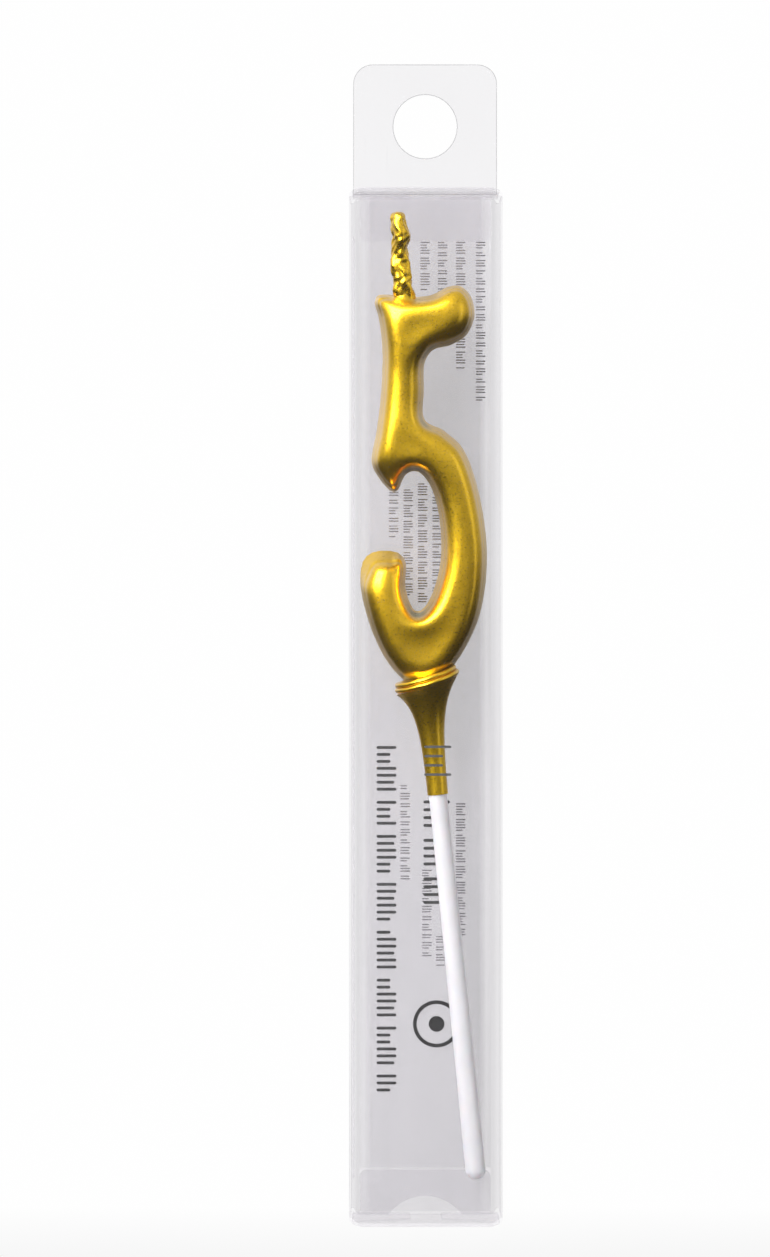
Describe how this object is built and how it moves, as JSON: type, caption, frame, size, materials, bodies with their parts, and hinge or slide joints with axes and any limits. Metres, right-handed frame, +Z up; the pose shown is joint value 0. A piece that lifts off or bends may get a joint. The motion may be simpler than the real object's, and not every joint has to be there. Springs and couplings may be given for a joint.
{
  "type": "number birthday candle in a clear hanging case",
  "caption": "Gold moulded number candle with a coated wick and a plastic stick, lying in a clear folded tuck-end case with a hang tab.",
  "frame": {"origin": "middle of the case's underside, at its base", "axes": "+Z up along the case towards the hang tab, -Y out of the front panel that shows the numeral the right way round, +X to the right seen from the front"},
  "size_m": [0.025, 0.016, 0.1904],
  "materials": {
    "clear_film": "clear folded PVC film",
    "gold_coating": "satin metallic gold lacquer over wax",
    "gold_wick": "gold lacquer over a twisted cotton wick",
    "white_plastic": "smooth white moulded plastic"
  },
  "bodies": {
    "case": {"front_panel": "clear_film", "back_panel": "clear_film", "left_side_panel": "clear_film", "right_side_panel": "clear_film", "glue_flap": "clear_film"},
    "tab": {"hang_tab": "clear_film"},
    "upper_lid": {"top_lid": "clear_film"},
    "upper_tuck": {"top_tuck_flap": "clear_film"},
    "upper_dust_left": {"top_dust_flap_left": "clear_film"},
    "upper_dust_right": {"top_dust_flap_right": "clear_film"},
    "lower_lid": {"bottom_lid": "clear_film"},
    "lower_tuck": {"bottom_tuck_flap": "clear_film"},
    "lower_dust_left": {"bottom_dust_flap_left": "clear_film"},
    "lower_dust_right": {"bottom_dust_flap_right": "clear_film"},
    "candle": {"number_body": "gold_coating", "collar_ring": "gold_coating", "flared_neck": "gold_coating", "wick": "gold_wick", "stick": "white_plastic"}
  },
  "joints": [
    {"name": "tab_fold", "type": "hinge", "parent": "case", "child": "tab", "pos_m": [0, 0.008, 0.16861], "axis": [-1, 0, 0], "range_deg": [0, 170]},
    {"name": "upper_lid_hinge", "type": "hinge", "parent": "case", "child": "upper_lid", "pos_m": [0, -0.008, 0.16801], "axis": [1, 0, 0], "range_deg": [0, 100]},
    {"name": "upper_tuck_fold", "type": "hinge", "parent": "upper_lid", "child": "upper_tuck", "pos_m": [0, 0.00695, 0.16801], "axis": [1, 0, 0], "range_deg": [-72, 0]},
    {"name": "upper_dust_left_fold", "type": "hinge", "parent": "case", "child": "upper_dust_left", "pos_m": [-0.0125, 0, 0.16741], "axis": [0, -1, 0], "range_deg": [0, 22]},
    {"name": "upper_dust_right_fold", "type": "hinge", "parent": "case", "child": "upper_dust_right", "pos_m": [0.0125, 0, 0.16741], "axis": [0, 1, 0], "range_deg": [0, 22]},
    {"name": "lower_lid_hinge", "type": "hinge", "parent": "case", "child": "lower_lid", "pos_m": [0, -0.008, 0.00045], "axis": [-1, 0, 0], "range_deg": [0, 100]},
    {"name": "lower_tuck_fold", "type": "hinge", "parent": "lower_lid", "child": "lower_tuck", "pos_m": [0, 0.00695, 0.00045], "axis": [-1, 0, 0], "range_deg": [-72, 0]},
    {"name": "lower_dust_left_fold", "type": "hinge", "parent": "case", "child": "lower_dust_left", "pos_m": [-0.0125, 0, 0.00105], "axis": [0, 1, 0], "range_deg": [0, 22]},
    {"name": "lower_dust_right_fold", "type": "hinge", "parent": "case", "child": "lower_dust_right", "pos_m": [0.0125, 0, 0.00105], "axis": [0, -1, 0], "range_deg": [0, 22]},
    {"name": "candle_slide", "type": "slide", "parent": "case", "child": "candle", "axis": [0, 0, 1], "range_m": [-0.0046, 0.002]}
  ],
  "couplings": [
    {"joint": "upper_tuck_fold", "follows": "upper_lid_hinge", "ratio": -0.7},
    {"joint": "upper_dust_left_fold", "follows": "upper_lid_hinge", "ratio": 0.2},
    {"joint": "upper_dust_right_fold", "follows": "upper_lid_hinge", "ratio": 0.2},
    {"joint": "lower_tuck_fold", "follows": "lower_lid_hinge", "ratio": -0.7},
    {"joint": "lower_dust_left_fold", "follows": "lower_lid_hinge", "ratio": 0.2},
    {"joint": "lower_dust_right_fold", "follows": "lower_lid_hinge", "ratio": 0.2}
  ]
}
